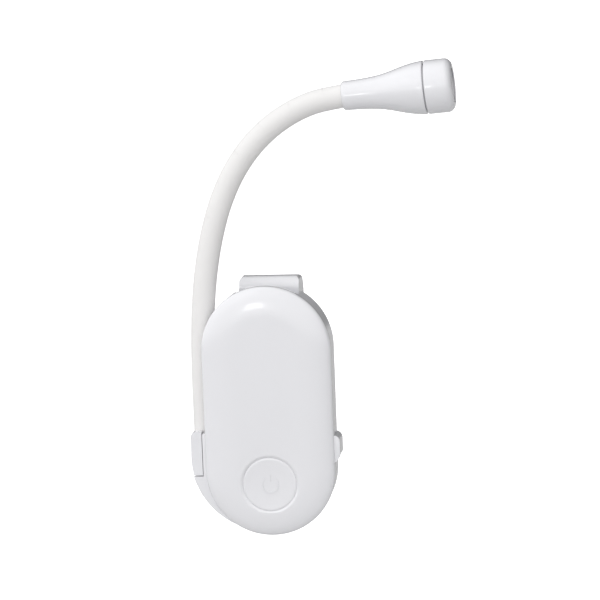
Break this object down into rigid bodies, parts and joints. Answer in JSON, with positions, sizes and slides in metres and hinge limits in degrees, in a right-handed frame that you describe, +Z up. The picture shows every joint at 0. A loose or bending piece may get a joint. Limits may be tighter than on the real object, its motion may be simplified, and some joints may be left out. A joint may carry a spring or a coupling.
{
  "type": "clip-on reading lamp",
  "caption": "Pill-shaped spring clip lamp with a round press button and a bendable side neck that carries a small flared LED head.",
  "frame": {"origin": "mouth of the clip: on the grip plane between the two jaws, on the housing's middle line, level with the housing's lowest point", "axes": "+X to the right as seen from the front, +Y towards the back, +Z up"},
  "size_m": [0.0845, 0.0254, 0.1452],
  "materials": {
    "shell": "glossy moulded ABS, cool white",
    "button": "glossy moulded ABS, same white as the shell",
    "lever": "glossy moulded ABS",
    "head_shell": "glossy moulded ABS",
    "neck_sleeve": "matte soft sleeve, slightly warm white",
    "neck_core": "annealed wire that holds its bend",
    "pad_rubber": "soft grey rubber",
    "dark_plastic": "black nylon",
    "switch_metal": "stamped cover",
    "circuit_board": "solder-masked board",
    "port_steel": "drawn steel shell",
    "cell_foil": "laminated pouch",
    "foam_tape": "double-sided foam tape",
    "screw_steel": "zinc-plated",
    "pin_steel": "ground steel",
    "spring_steel": "music wire",
    "lens": "clear moulded lens",
    "led_phosphor": "phosphor-coated LED",
    "reflector": "vacuum-metallised cup"
  },
  "bodies": {
    "housing": {"front_shell": "shell", "rear_shell": "shell", "tact_switch": "switch_metal", "main_board": "circuit_board", "charging_port": "port_steel", "battery_cell": "cell_foil", "battery_tape": "foam_tape", "shell_screws": "screw_steel", "body_pad": "pad_rubber", "hinge_pin": "pin_steel", "torsion_spring": "spring_steel", "neck_socket": "shell", "neck_sleeve_root": "neck_sleeve", "neck_core_root": "neck_core"},
    "lever": {"clip_lever": "lever", "lever_pad": "pad_rubber"},
    "button": {"button_cap": "button", "switch_plunger": "dark_plastic"},
    "neck_1": {"neck_sleeve_1": "neck_sleeve", "neck_core_1": "neck_core"},
    "neck_2": {"neck_sleeve_2": "neck_sleeve", "neck_core_2": "neck_core"},
    "neck_3": {"neck_sleeve_3": "neck_sleeve", "neck_core_3": "neck_core"},
    "neck_4": {"neck_sleeve_4": "neck_sleeve", "neck_core_4": "neck_core"},
    "neck_5": {"neck_sleeve_5": "neck_sleeve", "neck_core_5": "neck_core"},
    "neck_6": {"neck_sleeve_6": "neck_sleeve", "neck_core_6": "neck_core"},
    "neck_7": {"neck_sleeve_7": "neck_sleeve", "neck_core_7": "neck_core"},
    "neck_8": {"neck_sleeve_8": "neck_sleeve", "neck_core_8": "neck_core", "head_cone": "head_shell", "bezel_ring": "head_shell", "lens": "lens", "led_board": "circuit_board", "led_chip": "led_phosphor", "reflector": "reflector"}
  },
  "joints": [
    {"name": "lever_squeeze", "type": "hinge", "parent": "housing", "child": "lever", "pos_m": [0, -0.005, 0.027], "axis": [1, 0, 0], "range_deg": [0, 9], "stiffness_Nm_per_rad": 0.25, "springref_deg": -22.92, "deforming": ["torsion_spring"]},
    {"name": "button_press", "type": "slide", "parent": "housing", "child": "button", "axis": [0, 1, 0], "range_m": [0, 0.0005], "stiffness_N_per_m": 700, "springref_m": -0.001},
    {"name": "neck_bend", "type": "hinge", "parent": "housing", "child": "neck_1", "pos_m": [-0.01964, -0.0049, 0.07247], "axis": [0, 1, 0], "range_deg": [-14, 12]},
    {"name": "neck_sway", "type": "hinge", "parent": "neck_1", "child": "neck_2", "pos_m": [-0.01827, -0.0049, 0.08287], "axis": [0.986, 0, -0.1668], "range_deg": [-12, 12]},
    {"name": "neck_bend_3", "type": "hinge", "parent": "neck_2", "child": "neck_3", "pos_m": [-0.0161, -0.0049, 0.09315], "axis": [0, 1, 0], "range_deg": [-14, 12]},
    {"name": "neck_sway_4", "type": "hinge", "parent": "neck_3", "child": "neck_4", "pos_m": [-0.01291, -0.0049, 0.10314], "axis": [0.9323, 0, -0.3616], "range_deg": [-12, 12]},
    {"name": "neck_bend_5", "type": "hinge", "parent": "neck_4", "child": "neck_5", "pos_m": [-0.0083, -0.0049, 0.11256], "axis": [0, 1, 0], "range_deg": [-14, 12]},
    {"name": "neck_sway_6", "type": "hinge", "parent": "neck_5", "child": "neck_6", "pos_m": [-0.00196, -0.0049, 0.12091], "axis": [0.7266, 0, -0.6871], "range_deg": [-12, 12]},
    {"name": "neck_bend_7", "type": "hinge", "parent": "neck_6", "child": "neck_7", "pos_m": [0.00605, -0.0049, 0.12765], "axis": [0, 1, 0], "range_deg": [-14, 12]},
    {"name": "neck_sway_8", "type": "hinge", "parent": "neck_7", "child": "neck_8", "pos_m": [0.01542, -0.0049, 0.13234], "axis": [0.3355, 0, -0.9421], "range_deg": [-12, 12]}
  ],
  "couplings": [
    {"joint": "neck_bend_3", "follows": "neck_bend", "ratio": 1},
    {"joint": "neck_sway_4", "follows": "neck_sway", "ratio": 1},
    {"joint": "neck_bend_5", "follows": "neck_bend", "ratio": 1},
    {"joint": "neck_sway_6", "follows": "neck_sway", "ratio": 1},
    {"joint": "neck_bend_7", "follows": "neck_bend", "ratio": 1},
    {"joint": "neck_sway_8", "follows": "neck_sway", "ratio": 1}
  ]
}
